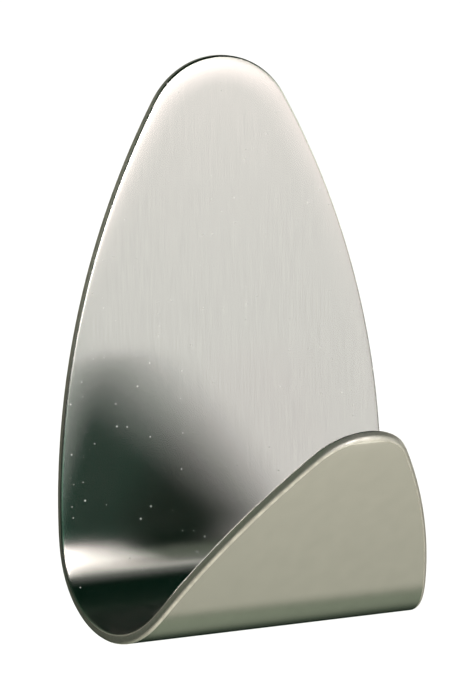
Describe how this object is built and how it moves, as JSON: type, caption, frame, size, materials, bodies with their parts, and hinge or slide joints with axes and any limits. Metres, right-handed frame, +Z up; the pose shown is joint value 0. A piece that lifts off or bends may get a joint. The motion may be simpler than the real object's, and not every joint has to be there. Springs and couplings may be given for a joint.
{
  "type": "adhesive wall hook",
  "caption": "Leaf-shaped brushed steel stick-on wall hook: a flat plate whose lower end bends forward and up into a rounded lip, on a foam adhesive pad with a peel-off liner.",
  "frame": {"origin": "middle of the adhesive pad, on the face that goes against the wall", "axes": "+Z up the wall, +Y into the wall, -Y towards the room, +X to the right seen from the room"},
  "size_m": [0.0388, 0.0343, 0.06],
  "materials": {
    "steel_sheet": "satin stainless steel, brushed along the sheet, with softly rolled cut edges",
    "adhesive_film": "clear tacky acrylic film, slightly yellow",
    "foam": "white closed-cell polyethylene foam with die-cut edges",
    "liner_paper": "waxed honey-coloured release paper"
  },
  "bodies": {
    "root": {"hook_plate": "steel_sheet", "plate_side_adhesive": "adhesive_film", "foam_carrier": "foam", "wall_side_adhesive": "adhesive_film", "release_liner": "liner_paper"}
  },
  "joints": []
}
